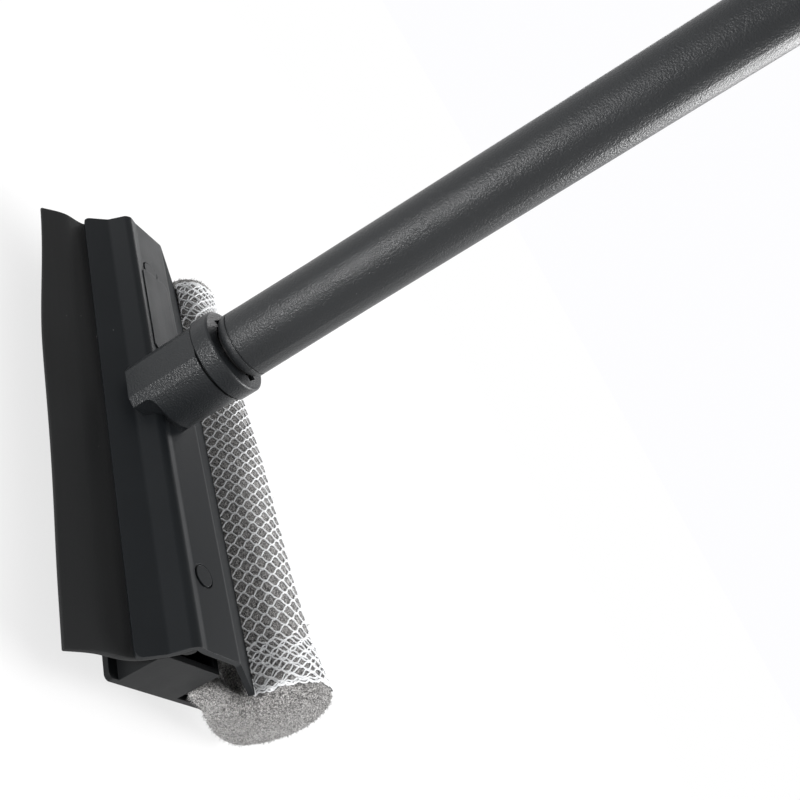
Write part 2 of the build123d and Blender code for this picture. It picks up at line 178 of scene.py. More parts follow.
# ---- node helpers -------------------------------------------------------------------------------
class Nodes:
    """A material's node tree, with a short call for each kind of node."""

    def __init__(self, name):
        self.material = bpy.data.materials.new(name)
        self.material.use_nodes = True
        self.tree = self.material.node_tree
        self.shader = self.tree.nodes["Principled BSDF"]
        self.output = self.tree.nodes["Material Output"]
        self.at = self.tree.nodes.new("ShaderNodeTexCoord").outputs["Object"]

    def link(self, source, socket):
        self.tree.links.new(source, socket)

    def node(self, kind, settings=None, **inputs):
        made = self.tree.nodes.new(kind)
        for key, value in (settings or {}).items():
            setattr(made, key, value)
        for key, value in inputs.items():
            socket = made.inputs[key.replace("_", " ")]
            if isinstance(value, bpy.types.NodeSocket):
                self.link(value, socket)
            else:
                socket.default_value = value
        return made

    def stretched(self, x, y, z):
        """Object coordinates scaled by x, y and z."""
        made = self.node("ShaderNodeMapping", Vector=self.at)
        made.inputs["Scale"].default_value = (x, y, z)
        return made.outputs["Vector"]

    def noise(self, scale, detail=3.0, roughness=0.5, at=None, distortion=0.0):
        made = self.node(
            "ShaderNodeTexNoise",
            Vector=at or self.at,
            Scale=scale,
            Detail=detail,
            Roughness=roughness,
            Distortion=distortion,
        )
        return made.outputs["Fac"]

    def cells(self, scale, feature="F1"):
        made = self.node("ShaderNodeTexVoronoi", {"feature": feature}, Vector=self.at, Scale=scale)
        return made.outputs["Distance"]

    def remap(self, value, low, high, to_low, to_high):
        made = self.node(
            "ShaderNodeMapRange",
            Value=value,
            From_Min=low,
            From_Max=high,
            To_Min=to_low,
            To_Max=to_high,
        )
        return made.outputs["Result"]

    def math(self, operation, a, b):
        made = self.tree.nodes.new("ShaderNodeMath")
        made.operation = operation
        for socket, value in zip(made.inputs, (a, b)):
            if isinstance(value, bpy.types.NodeSocket):
                self.link(value, socket)
            else:
                socket.default_value = value
        return made.outputs[0]

    def mix(self, factor, a, b):
        """Colour a where factor is 0 and b where it is 1."""
        made = self.tree.nodes.new("ShaderNodeMix")
        made.data_type = "RGBA"
        for name, value in (("Factor_Float", factor), ("A_Color", a), ("B_Color", b)):
            socket = next(s for s in made.inputs if s.identifier == name)
            if isinstance(value, bpy.types.NodeSocket):
                self.link(value, socket)
            else:
                socket.default_value = value
        return next(s for s in made.outputs if s.identifier == "Result_Color")

    def bump(self, height, strength, distance, normal=None):
        made = self.node("ShaderNodeBump", Height=height, Strength=strength, Distance=distance)
        if normal:
            self.link(normal, made.inputs["Normal"])
        return made.outputs["Normal"]

    def edges(self, radius):
        """(rounded normal, 1 on edges and 0 elsewhere) for edges of that radius."""
        rounded = self.node("ShaderNodeBevel", {"samples": 6}, Radius=radius).outputs["Normal"]
        true_normal = self.node("ShaderNodeNewGeometry").outputs["Normal"]
        dot = self.tree.nodes.new("ShaderNodeVectorMath")
        dot.operation = "DOT_PRODUCT"
        self.link(rounded, dot.inputs[0])
        self.link(true_normal, dot.inputs[1])
        return rounded, self.remap(dot.outputs["Value"], 0.97, 0.75, 0.0, 1.0)


def grey(value, warm=0.0):
    """A near-neutral colour; warm above 0 leans to yellow, below 0 to blue."""
    return (value * (1 + warm), value, value * (1 - warm), 1)


# ---- materials ----------------------------------------------------------------------------------
COLLAR_Z = ROOF_Z + 25.6 * MM   # the socket's collar meets its body in a fine groove, with painted shade along it
GROOVE_AND_SHADE_HALF = 0.75 * MM
SKIRT_Y = AXIS_Y + 18.5 * MM    # the skirt, rubbed by the wet sponge, is duller than the roof
SKIRT_DULLER = 0.35


def moulded_plastic(
    name, tone, roughness, grain, grain_depth, streaks=0.0, warm=0.0, gloss=0.15, groove_and_shade_z=None, dull_y=None
):
    """Black moulded plastic: fine grain, faint flow streaks, clouding, pale rubbed edges and dust, and where
    asked a groove with painted shade.
    """
    n = Nodes(name)
    rounded, edge = n.edges(0.35 * MM)
    cloud = n.noise(22.0, 4.0, 0.6)
    fine = n.noise(grain, 2.0, 0.6)
    flow = n.noise(60.0, 5.0, 0.6, at=n.stretched(0.12, 1.0, 1.0), distortion=0.4)
    specks = n.remap(n.cells(260.0), 0.03, 0.055, 1.0, 0.0)
    few = n.remap(n.noise(55.0, 0.0), 0.66, 0.74, 0.0, 0.8)
    dust = n.math("MULTIPLY", specks, few)
    body = n.mix(cloud, grey(tone * 0.82, warm), grey(tone * 1.2, warm))
    rubbed = n.math("MULTIPLY", edge, n.remap(n.noise(240.0, 3.0), 0.35, 0.65, 0.1, 0.5))
    colour = n.mix(rubbed, body, grey(tone * 2.6, warm))
    colour = n.mix(n.math("MULTIPLY", dust, 0.55), colour, grey(0.36))
    streaked = n.math("MULTIPLY", n.math("SUBTRACT", flow, 0.5), streaks)
    varied = n.math("ADD", n.remap(cloud, 0.3, 0.7, roughness - 0.05, roughness + 0.05), streaked)
    if dull_y is not None:
        across = n.node("ShaderNodeSeparateXYZ", Vector=n.at).outputs["Y"]
        varied = n.math("ADD", varied, n.remap(across, dull_y, dull_y + 1.5 * MM, 0.0, SKIRT_DULLER))
    n.link(n.math("ADD", varied, n.math("MULTIPLY", dust, 0.3)), n.shader.inputs["Roughness"])
    grained = n.bump(fine, 1.0, grain_depth, rounded)
    if groove_and_shade_z is not None:
        height = n.node("ShaderNodeSeparateXYZ", Vector=n.at).outputs["Z"]
        off = n.math("ABSOLUTE", n.math("SUBTRACT", height, groove_and_shade_z), 0.0)
        grained = n.bump(n.remap(off, 0.1 * MM, GROOVE_AND_SHADE_HALF, 0.0, 1.0), 1.0, 0.8 * MM, grained)
        # painted shade: the colour goes near black along the groove, standing in for the shade under the
        # collar's rim
        colour = n.mix(n.remap(off, 0.3 * MM, GROOVE_AND_SHADE_HALF, 0.9, 0.0), colour, grey(0.002))
    n.link(colour, n.shader.inputs["Base Color"])
    n.link(n.bump(flow, 0.35, 0.12 * MM, grained), n.shader.inputs["Normal"])
    n.shader.inputs["IOR"].default_value = 1.49
    n.shader.inputs["Specular IOR Level"].default_value = gloss
    return n.material


def rubber(name):
    """Matt black rubber with a fine skin, faint wiping streaks along the lip and a little dust."""
    n = Nodes(name)
    cloud = n.noise(16.0, 4.0, 0.6)
    skin = n.noise(1700.0, 2.0, 0.6)
    streak = n.noise(240.0, 3.0, 0.55, at=n.stretched(0.04, 1.0, 1.0))
    specks = n.remap(n.cells(220.0), 0.03, 0.055, 1.0, 0.0)
    few = n.remap(n.noise(40.0, 0.0), 0.64, 0.72, 0.0, 0.8)
    dust = n.math("MULTIPLY", specks, few)
    colour = n.mix(cloud, grey(0.009, 0.0), grey(0.015, -0.04))
    colour = n.mix(n.math("MULTIPLY", dust, 0.5), colour, grey(0.25))
    n.link(colour, n.shader.inputs["Base Color"])
    n.link(n.remap(streak, 0.3, 0.7, 0.50, 0.62), n.shader.inputs["Roughness"])
    pitted = n.bump(skin, 0.6, 0.05 * MM)
    n.link(n.bump(streak, 0.3, 0.05 * MM, pitted), n.shader.inputs["Normal"])
    n.shader.inputs["IOR"].default_value = 1.5
    n.shader.inputs["Specular IOR Level"].default_value = 0.15
    return n.material


def foam(name):
    """Grey open-celled foam: painted shade darkens its pores, painted highlights lighten its struts, and its
    loose fibres give a soft sheen.
    """
    n = Nodes(name)
    pores = n.cells(1800.0)
    struts = n.cells(2000.0, "DISTANCE_TO_EDGE")
    clump = n.noise(950.0, 4.0, 0.7)
    tint = n.noise(45.0, 3.0)
    base = n.mix(tint, grey(0.36, 0.035), grey(0.47, 0.025))
    # painted shade: the pores go near black, as the shade inside the foam's holes
    painted_pore_shade = n.remap(pores, 0.25, 0.6, 0.0, 0.95)
    colour = n.mix(painted_pore_shade, base, grey(0.04, 0.04))
    # painted highlight: the struts go pale, as light catching their edges
    painted_strut_highlight = n.math("MULTIPLY", n.remap(struts, 0.02, 0.11, 1.0, 0.0), n.remap(clump, 0.40, 0.62, 0.0, 1.0))
    colour = n.mix(painted_strut_highlight, colour, grey(0.72, 0.02))
    n.link(colour, n.shader.inputs["Base Color"])
    n.shader.inputs["Roughness"].default_value = 0.95
    n.shader.inputs["Specular IOR Level"].default_value = 0.2
    n.shader.inputs["Sheen Weight"].default_value = 0.35
    n.shader.inputs["Sheen Roughness"].default_value = 0.6
    lumps = n.bump(clump, 0.8, 0.45 * MM)
    n.link(n.bump(pores, 0.9, 0.3 * MM, lumps), n.shader.inputs["Normal"])
    return n.material


def net_yarn(name):
    """White polyester yarn: fine filaments across the thread with painted shade between them, a touch of grey
    and a soft gloss.
    """
    n = Nodes(name)
    filaments_and_shade = n.noise(2600.0, 2.0, 0.6)
    soil = n.noise(35.0, 3.0)
    colour = n.mix(n.remap(soil, 0.35, 0.75, 0.0, 0.6), grey(0.93, -0.012), grey(0.82, -0.006))
    # painted shade: the colour greys where the filament noise is low, as shade between the filaments
    colour = n.mix(n.remap(filaments_and_shade, 0.35, 0.6, 0.3, 0.0), colour, grey(0.60))
    n.link(colour, n.shader.inputs["Base Color"])
    n.link(n.remap(filaments_and_shade, 0.3, 0.7, 0.45, 0.65), n.shader.inputs["Roughness"])
    n.shader.inputs["Sheen Weight"].default_value = 0.25
    n.link(n.bump(filaments_and_shade, 0.5, 0.06 * MM), n.shader.inputs["Normal"])
    return n.material


def screw_steel(name):
    """Zinc plated steel with fine turning marks and dull blotches."""
    n = Nodes(name)
    blotch = n.noise(700.0, 3.0)
    turned = n.noise(2600.0, 2.0, at=n.stretched(1.0, 1.0, 0.1))
    rounded, edge = n.edges(0.2 * MM)
    colour = n.mix(blotch, grey(0.46, 0.02), grey(0.62, 0.03))
    n.link(n.mix(edge, colour, grey(0.75, 0.02)), n.shader.inputs["Base Color"])
    n.shader.inputs["Metallic"].default_value = 1.0
    n.link(n.remap(blotch, 0.3, 0.7, 0.28, 0.42), n.shader.inputs["Roughness"])
    n.link(n.bump(turned, 0.4, 0.04 * MM, rounded), n.shader.inputs["Normal"])
    return n.material


def studio_floor(name):
    """Pale floor that takes the object's shadow and runs into an even white further out."""
    n = Nodes(name)
    length = n.tree.nodes.new("ShaderNodeVectorMath")
    length.operation = "LENGTH"
    n.link(n.at, length.inputs[0])
    far = n.node(
        "ShaderNodeMapRange",
        {"interpolation_type": "SMOOTHSTEP"},
        Value=length.outputs["Value"],
        From_Min=SHADOW_RADIUS[0],
        From_Max=SHADOW_RADIUS[1],
        To_Min=FLOOR_GLOW,
    ).outputs["Result"]
    paper = n.noise(900.0, 3.0)
    n.link(n.mix(paper, grey(0.88), grey(0.92)), n.shader.inputs["Base Color"])
    n.shader.inputs["Roughness"].default_value = 0.9
    n.shader.inputs["Specular IOR Level"].default_value = 0.1
    glow = n.node("ShaderNodeEmission", Color=grey(1.0), Strength=1.0)
    blend = n.tree.nodes.new("ShaderNodeMixShader")
    n.link(far, blend.inputs[0])
    n.link(n.shader.outputs[0], blend.inputs[1])
    n.link(glow.outputs[0], blend.inputs[2])
    n.link(blend.outputs[0], n.output.inputs["Surface"])
    return n.material


head_plastic = moulded_plastic(
    "head_plastic", 0.008, 0.42, 2000.0, 0.03 * MM, streaks=0.3, warm=-0.14, dull_y=SKIRT_Y
)
insert_plastic = moulded_plastic("insert_plastic", 0.007, 0.46, 1800.0, 0.045 * MM, streaks=0.15, warm=-0.08)
socket_plastic = moulded_plastic(
    "socket_plastic", 0.011, 0.33, 1500.0, 0.22 * MM, streaks=0.15, warm=-0.12, gloss=0.32, groove_and_shade_z=COLLAR_Z
)
handle_plastic = moulded_plastic(
    "handle_plastic", 0.015, 0.36, 1500.0, 0.24 * MM, streaks=0.1, warm=-0.08, gloss=0.35
)
spigot_plastic = moulded_plastic("spigot_plastic", 0.018, 0.34, 1500.0, 0.03 * MM)
cap_plastic = moulded_plastic("cap_plastic", 0.024, 0.42, 1400.0, 0.05 * MM)
blade_rubber = rubber("blade_rubber")
foam_grey = foam("foam_grey")
yarn_white = net_yarn("yarn_white")
screw_zinc = screw_steel("screw_zinc")

for node, material in {
    "back_housing": head_plastic,
    "handle_socket": socket_plastic,
    "clamp_insert": insert_plastic,
    "socket_screws": screw_zinc,
    "handle_tube": handle_plastic,
    "handle_spigot": spigot_plastic,
    "hang_cap": cap_plastic,
}.items():
    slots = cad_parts[node].data.materials
    slots.clear()
    slots.append(material)


# ---- rubber blade: bead, web and a lip that has taken a set ---------------------------------------
BLADE_STATIONS = 170
BLADE_LINE_POINTS = 90
BLADE_HALF = HALF_HEAD - 1.2     # the strip stops a little short of the housing's ends
BEAD_RADIUS = 2.3
WEB_HALF = 1.0
TIP_HALF = 0.72
WEB_EVEN = 0.6                  # the strip keeps its thickness over this share of its width
EDGE_ROUND = 0.3
END_DRAW = 0.8                  # share of the ends' rounding that is taken across the strip
BEAD_POLE = 0.25                # half width kept at the bead's far side, which would otherwise be 0
# Points of the blade's middle line: the bead's far side, its centre, the kink under the ridge, the
# way out under the flange, the lip's middle and its tip.
BLADE_ROOT = ((-0.6, -2.3), (-1.1, -4.5), (-4.6, -9.3), (-12.5, -16.4))
LIP_PLAIN = ((-22.5, -19.2), (-32.6, -23.6))
LIP_FAR_END = ((-21.9, -18.4), (-30.0, -22.8))      # drawn back at the far end
LIP_NEAR_END = ((-25.6, -18.7), (-34.6, -22.0))     # humped at the near end
LIP_FAR_REACH = (-101.0, -20.0)
LIP_NEAR_REACH = (52.0, 101.0)
LIP_WAVE = 0.35
LIP_WAVE_SPAN = 19.0            # along the head, for each radian of the wave


def curve_through(points, count):
    """count points, evenly spaced, on a smooth curve through points (n, 2)."""
    p = np.asarray(points, float)
    p = np.vstack([2 * p[0] - p[1], p, 2 * p[-1] - p[-2]])
    fine = []
    for k in range(1, len(p) - 2):
        t = np.linspace(0, 1, 40, endpoint=k == len(p) - 3)[:, None]
        a, b, c, d = p[k - 1], p[k], p[k + 1], p[k + 2]
        fine.append(
            0.5 * (2 * b + (c - a) * t + (2 * a - 5 * b + 4 * c - d) * t**2 + (3 * b - a - 3 * c + d) * t**3)
        )
    fine = np.vstack(fine)
    along = np.concatenate([[0], np.cumsum(np.linalg.norm(np.diff(fine, axis=0), axis=1))])
    wanted = np.linspace(0, along[-1], count)
    return np.stack([np.interp(wanted, along, fine[:, k]) for k in range(2)], axis=1), wanted


def blade_section(x):
    """The closed outline of the blade at x, upper side from bead to tip and back below, (n, 2)."""
    far = 1 - smoothstep(*LIP_FAR_REACH, x)
    near = smoothstep(*LIP_NEAR_REACH, x)
    lip = np.array(LIP_PLAIN) * (1 - far - near) + np.array(LIP_FAR_END) * far + np.array(LIP_NEAR_END) * near
    lip[1, 1] += LIP_WAVE * math.sin(x / LIP_WAVE_SPAN) * (1 - far - near)
    line, along = curve_through([*BLADE_ROOT, *lip], BLADE_LINE_POINTS)
    tangent = np.gradient(line, axis=0)
    tangent /= np.linalg.norm(tangent, axis=1)[:, None]
    normal = np.stack([tangent[:, 1], -tangent[:, 0]], axis=1)
    web = np.interp(along, [0, along[-1] * WEB_EVEN, along[-1]], [WEB_HALF, WEB_HALF, TIP_HALF])
    bead = np.sqrt(np.clip(BEAD_RADIUS**2 - (along - BEAD_RADIUS) ** 2, 0.0, None))
    half = np.maximum(np.where(along < BEAD_RADIUS, 0.0, web), bead)
    to_tip = along[-1] - along
    half = half - EDGE_ROUND + np.sqrt(EDGE_ROUND**2 - np.clip(EDGE_ROUND - to_tip, 0, EDGE_ROUND) ** 2)
    half[0] = BEAD_POLE
    upper = line + normal * half[:, None]
    lower = line - normal * half[:, None]
    return np.vstack([upper, lower[::-1]])


def blade_stations():
    """x of each section, closer together at the two rounded ends."""
    ends = EDGE_ROUND * (1 - np.cos(np.linspace(0, math.pi / 2, 4)))
    body = np.linspace(-BLADE_HALF + EDGE_ROUND, BLADE_HALF - EDGE_ROUND, BLADE_STATIONS)
    return np.concatenate([-BLADE_HALF + ends[:-1], body, BLADE_HALF - ends[-2::-1]])


blade_x = blade_stations()
sections = [blade_section(x) for x in blade_x]
columns = len(sections[0])
blade_points = []
for x, section in zip(blade_x, sections):
    inset = EDGE_ROUND - math.sqrt(
        max(EDGE_ROUND**2 - max(EDGE_ROUND - (BLADE_HALF - abs(x)), 0.0) ** 2, 0.0)
    )
    opposite = section[::-1]
    across = opposite - section
    across /= np.linalg.norm(across, axis=1)[:, None]
    inner = section + across * inset * END_DRAW
    blade_points.append(np.column_stack([np.full(columns, x), inner]))
blade_faces = grid_faces(len(blade_x), columns, closed=True)
half_columns = columns // 2
for row, flip in ((0, False), (len(blade_x) - 1, True)):
    start = row * columns
    for c in range(half_columns - 1):
        cap = (start + c, start + columns - 1 - c, start + columns - 2 - c, start + c + 1)
        blade_faces.append(cap[::-1] if flip else cap)
blade = mesh_object("squeegee_rubber", place(np.vstack(blade_points)), blade_faces)
blade.data.materials.append(blade_rubber)
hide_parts("rubber_blade")
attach(blade, "head")


# ---- the roll's shape ---------------------------------------------------------------------------
ROLL_FULLNESS = 2.25            # exponent of the section; 2 is an ellipse
MOUTH_HALF = (3.9, 7.1)         # half height of the mouth above and below the roll's middle
BULGE_TO = np.array([0.52, 0.855])      # the roll is fuller or flatter mostly on this side
# (x, how far the roll stands outside its plain section): slack at the far end, flared at the near one
BULGE = (
    (-106.0, -1.6),
    (-94.0, -2.8),
    (-74.0, -3.8),
    (-35.0, -1.6),
    (0.0, 0.1),
    (55.0, 0.7),
    (82.0, 1.9),
    (97.0, 3.8),
    (109.0, 7.0),
)
ALL_ROUND = 0.25                # share of the bulge that the whole section takes
PINCH_TO = np.array([-0.82, 0.57])      # the net draws the roll in beside the skirt
PINCH = 2.2
PINCH_REACH = (-95.0, -25.0)
DRIFT = -6.0                    # the far end leans over the skirt
DRIFT_REACH = (-105.0, -76.0)
# The housing's skirt as the roll meets it, from under its edge to its outer face: (z, least y).
SKIRT_STOP = (
    (-40.0, 0.0),
    (-17.2, 38.0),
    (-16.4, 46.6),
    (-13.2, 47.0),
    (-12.2, 45.6),
    (-8.6, 38.0),
    (0.0, 20.0),
)
SKIRT_HOLDS = 0.6               # the skirt stops the roll up to this far past the housing's end


def proud(x, normals):
    """Millimetres that the roll stands outside its plain section at x, where it faces along normals."""
    stations = np.array(BULGE)
    steps = (-6.0, -3.0, 0.0, 3.0, 6.0)
    amount = sum(np.interp(x + s, stations[:, 0], stations[:, 1]) for s in steps) / len(steps)
    side = np.clip(normals @ BULGE_TO, 0, None)
    drawn = PINCH * smoothstep(*PINCH_REACH, x) * np.clip(normals @ PINCH_TO, 0, None) ** 2
    return amount * (ALL_ROUND + (1 - ALL_ROUND) * side) - drawn


def leaned(x, points):
    """Section points moved over the skirt at the far end, and kept outside the housing."""
    y = points[..., 0] + DRIFT * (1 - smoothstep(*DRIFT_REACH, x))
    stops = np.array(SKIRT_STOP)
    outside = np.interp(points[..., 1], stops[:, 0], stops[:, 1])
    kept = np.maximum(y, np.minimum(outside, points[..., 0]))
    return np.stack([np.where(x > -HALF_HEAD - SKIRT_HOLDS, kept, y), points[..., 1]], axis=-1)


def roll_outline(angle):
    """(points, outward normals) of the plain section at angles from the roll's middle, (n, 2) each."""
    c, s = np.cos(angle), np.sin(angle)
    power = 2 / ROLL_FULLNESS
    points = np.stack(
        [
            ROLL_HALF_WIDTH * np.sign(c) * np.abs(c) ** power,
            ROLL_HALF_HEIGHT * np.sign(s) * np.abs(s) ** power,
        ],
        axis=-1,
    )
    rise = ROLL_FULLNESS - 1
    normals = np.stack(
        [
            np.sign(points[..., 0]) * np.abs(points[..., 0] / ROLL_HALF_WIDTH) ** rise / ROLL_HALF_WIDTH,
            np.sign(points[..., 1]) * np.abs(points[..., 1] / ROLL_HALF_HEIGHT) ** rise / ROLL_HALF_HEIGHT,
        ],
        axis=-1,
    )
    normals /= np.linalg.norm(normals, axis=-1, keepdims=True)
    return points + np.array([ROLL_Y, ROLL_Z]), normals


def settled(x, points, normals):
    """The plain section's points as they lie at x."""
    return leaned(x, points + normals * proud(x, normals)[..., None])


# ---- foam: roll, tongue and the bare near end, fused and roughened --------------------------------
FOAM_VOXEL = 0.62 * MM
FOAM_NEAR_END = 108.4
FOAM_FAR_END = -108.6
NEAR_DOME = 11.0
FAR_DOME = 3.4
NEAR_POWER = 2.6
FAR_POWER = 3.0
TONGUE = ((25.0, -26.0), (25.0, -7.0), (42.4, -16.2), (54.0, -16.4), (54.0, -26.0))
TONGUE_HALF_LENGTH = 86.0
FOAM_SMOOTHING = 6
DOME_ROWS = 14
MIDDLE_ROWS = 90
ROLL_COLUMNS = 96
DOME_POLE = 0.03                # least size of a dome's rows, as a share of the section


def roll_mesh():
    """The plain roll as a closed loft with domed ends."""
    phi = np.linspace(math.pi / 2, 0, DOME_ROWS)
    near = FOAM_NEAR_END - NEAR_DOME + NEAR_DOME * np.sin(phi) ** (2 / NEAR_POWER)
    far = FOAM_FAR_END + FAR_DOME - FAR_DOME * np.sin(phi) ** (2 / FAR_POWER)
    near_size = np.clip(np.cos(phi), DOME_POLE, 1) ** (2 / NEAR_POWER)
    far_size = np.clip(np.cos(phi), DOME_POLE, 1) ** (2 / FAR_POWER)
    middle = np.linspace(far[-1], near[-1], MIDDLE_ROWS)[1:-1]
    xs = np.concatenate([far, middle, near[::-1]])
    sizes = np.concatenate([far_size, np.ones(len(middle)), near_size[::-1]])
    angle = np.linspace(0, 2 * math.pi, ROLL_COLUMNS, endpoint=False)
    points, normals = roll_outline(angle)
    rows = []
    for x, size in zip(xs, sizes):
        at = settled(np.full(len(angle), x), points, normals)
        centre = at.mean(axis=0)
        at = centre + (at - centre) * size
        rows.append(np.column_stack([np.full(len(angle), x), at]))
    verts = np.vstack(rows)
    faces = [f[::-1] for f in grid_faces(len(xs), len(angle), closed=True)]
    faces.append(tuple(range(len(angle))))
    faces.append(tuple(range(len(verts) - 1, len(verts) - len(angle) - 1, -1)))
    return verts, faces


def tongue_mesh():
    """The tongue that the skirt and the plate grip, a closed prism."""
    n = len(TONGUE)
    verts = np.array([(x, *p) for x in (-TONGUE_HALF_LENGTH, TONGUE_HALF_LENGTH) for p in TONGUE])
    faces = grid_faces(2, n, closed=True)
    faces.append(tuple(range(n - 1, -1, -1)))
    faces.append(tuple(range(n, 2 * n)))
    return verts, faces


LUMPS = (
    # centre, half sizes: foam that swells out of the slot past the housing's near end
    ((99.0, 34.0, -22.5), (5.6, 12.0, 4.6)),
    ((101.0, 43.0, -24.0), (5.6, 11.0, 6.6)),
    ((101.5, 52.0, -25.0), (6.0, 12.0, 10.5)),
)


def lump_mesh(centre, sizes):
    """An ellipsoid as a closed lat-long mesh."""
    lat = np.linspace(-math.pi / 2 + 0.08, math.pi / 2 - 0.08, 16)
    lon = np.linspace(0, 2 * math.pi, 28, endpoint=False)
    rows = [
        np.column_stack([np.cos(a) * np.cos(lon), np.cos(a) * np.sin(lon), np.full(len(lon), math.sin(a))])
        for a in lat
    ]
    verts = np.vstack(rows) * np.array(sizes) + np.array(centre)
    faces = grid_faces(len(lat), len(lon), closed=True)
    faces.append(tuple(range(len(lon) - 1, -1, -1)))
    faces.append(tuple(range(len(verts) - len(lon), len(verts))))
    return verts, faces


def fused(parts, voxel, smoothing):
    """One even closed mesh round all the parts, from a voxel remesh and a little smoothing."""
    verts, faces = [], []
    count = 0
    for part_verts, part_faces in parts:
        verts.append(part_verts)
        faces += [tuple(count + i for i in f) for f in part_faces]
        count += len(part_verts)
    source = mesh_object("foam_source", place(np.vstack(verts)), faces)
    remesh = source.modifiers.new("remesh", "REMESH")
    remesh.mode = "VOXEL"
    remesh.voxel_size = voxel
    soften = source.modifiers.new("soften", "SMOOTH")
    soften.factor = 0.5
    soften.iterations = smoothing
    graph = bpy.context.evaluated_depsgraph_get()
    mesh = bpy.data.meshes.new_from_object(source.evaluated_get(graph))
    bpy.data.objects.remove(source)
    return mesh


def mesh_arrays(mesh):
    """(vertices, vertex normals) as (n, 3) arrays."""
    verts = np.empty(len(mesh.vertices) * 3, np.float32)
    normals = np.empty(len(mesh.vertices) * 3, np.float32)
    mesh.vertices.foreach_get("co", verts)
    mesh.vertex_normals.foreach_get("vector", normals)
    return verts.reshape(-1, 3).astype(float), normals.reshape(-1, 3).astype(float)


# ---- net threads --------------------------------------------------------------------------------
THREAD_RADIUS = 0.34
ROW_PITCH = 5.4                 # along the head, between cells of one column
HALF_COLUMN = 3.4               # round the roll, between a column of cells and the next
KNOT_LENGTH = 1.3
KNOT_RISE = 0.22                # height of a thread's turn round its neighbour
KNOT_FROM = 0.9                 # share of a zigzag's reach at which the winding starts
LIFT_SPREAD = 0.03              # of the threads' height, from one to the next
EDGE_DRAW = 0.3                 # the outermost threads are drawn in by this share of their reach
KNOT_GAP = 0.6                  # between the middles of two threads in a knot
HEM_DEPTH = 17.0
THREAD_STEP = 0.55
NET_TUCK = 4.0                  # the threads run this far into the slot
TUCK_POINTS = 12
TUCK_START = 0.3                # gap from the roll to the first of them
TUCK_SLOPE = 0.06               # the upper ones rise by this share of their distance in
NORMAL_PASSES = 10
WRAP_POINTS = 500
MOUTH_EASE = 3.0                # the threads have the roll's full shape from this far past the slot
SLOT_LIFT = 0.25                # share of a thread's height that is left inside the slot
THREAD_UNEVEN = 0.16            # share by which a thread's radius comes and goes
THREAD_BEAT = 2.4               # radians of that from one ring to the next
EDGE_SCALLOP = 0.5              # share of an edge thread's wobble that follows the net's columns
EDGE_LIFT_SPREAD = 0.25
EDGE_LUMP = 3.2
EDGE_LIFT_LUMP = 2.0
rng = np.random.default_rng(20)


def wrap_line(tuck):
    """(points, normals, length along) of the net's line round the section, from the slot and back to it."""
    top = math.pi - math.asin(MOUTH_HALF[0] / ROLL_HALF_HEIGHT)
    bottom = math.asin(MOUTH_HALF[1] / ROLL_HALF_HEIGHT) - math.pi
    points, normals = roll_outline(np.linspace(top, bottom, WRAP_POINTS))
    inward = np.linspace(tuck, TUCK_START, TUCK_POINTS)[:, None]
    upper = points[0] + inward * np.array([-1.0, TUCK_SLOPE])
    lower = points[-1] + inward[::-1] * np.array([-1.0, 0.0])
    points = np.vstack([upper, points, lower])
    up = np.tile([0.0, 1.0], (TUCK_POINTS, 1))
    normals = np.vstack([up, normals, -up])
    for _ in range(NORMAL_PASSES):
        normals[1:-1] = (normals[:-2] + normals[1:-1] * 2 + normals[2:]) / 4
    normals /= np.linalg.norm(normals, axis=1)[:, None]
    along = np.concatenate([[0], np.cumsum(np.linalg.norm(np.diff(points, axis=0), axis=1))])
    return points, normals, along


WRAP = wrap_line(NET_TUCK)
WRAP_LENGTH = WRAP[2][-1]


def on_roll(x, t, lift):
    """(points, normals) in section coordinates of places on the roll, x along it and t round it."""
    section = np.stack([np.interp(t, WRAP[2], WRAP[0][:, k]) for k in range(2)], axis=1)
    normal = np.stack([np.interp(t, WRAP[2], WRAP[1][:, k]) for k in range(2)], axis=1)
    normal /= np.linalg.norm(normal, axis=1)[:, None]
    loose = smoothstep(0, NET_TUCK + MOUTH_EASE, t)
    loose = loose * (1 - smoothstep(WRAP_LENGTH - NET_TUCK - MOUTH_EASE, WRAP_LENGTH, t))
    out = proud(x, normal) * loose
    height = lift * (SLOT_LIFT + (1 - SLOT_LIFT) * loose)
    section = leaned(x, section + normal * out[:, None]) + normal * height[:, None]
    return np.column_stack([x, section]), np.column_stack([np.zeros(len(x)), normal])


def zigzag(t, flat):
    """A wave from -1 to 1 with flat tops of that length, over the net's column pitch."""
    phase = (np.asarray(t) / (2 * HALF_COLUMN)) % 1.0
    distance = np.abs(phase - 0.5) * 2 * HALF_COLUMN
    ramp = HALF_COLUMN - flat
    return np.sin(np.clip((distance - HALF_COLUMN / 2) / (ramp / 2), -1, 1) * math.pi / 2)


def wandering(x, t, amount, seed):
    """Slow drift of the net's threads, in millimetres, along and round the roll."""
    at = np.column_stack([x, t, np.zeros(len(x))])
    return amount * ripple(at, 17.0, seed), amount * ripple(at, 21.0, seed + 5)


def thread_course(t, sign, pitch, shift):
    """(reach, x offset, rise) of a thread at t round the net, as knitted flat: it zigzags between its
    neighbours and winds once round the one it meets in a knot."""
    wave = zigzag(t + shift, KNOT_LENGTH)
    in_knot = smoothstep(KNOT_FROM, 1.0, np.abs(wave))
    turn = 2 * math.pi * ((t + shift) % HALF_COLUMN) / KNOT_LENGTH
    toward = sign * wave
    reach = toward * (pitch / 2 - KNOT_GAP) / 2
    winding = toward * KNOT_GAP / 4 * (1 - np.cos(turn)) * in_knot
    return reach, reach + winding, KNOT_RISE * np.sin(turn) * toward * in_knot


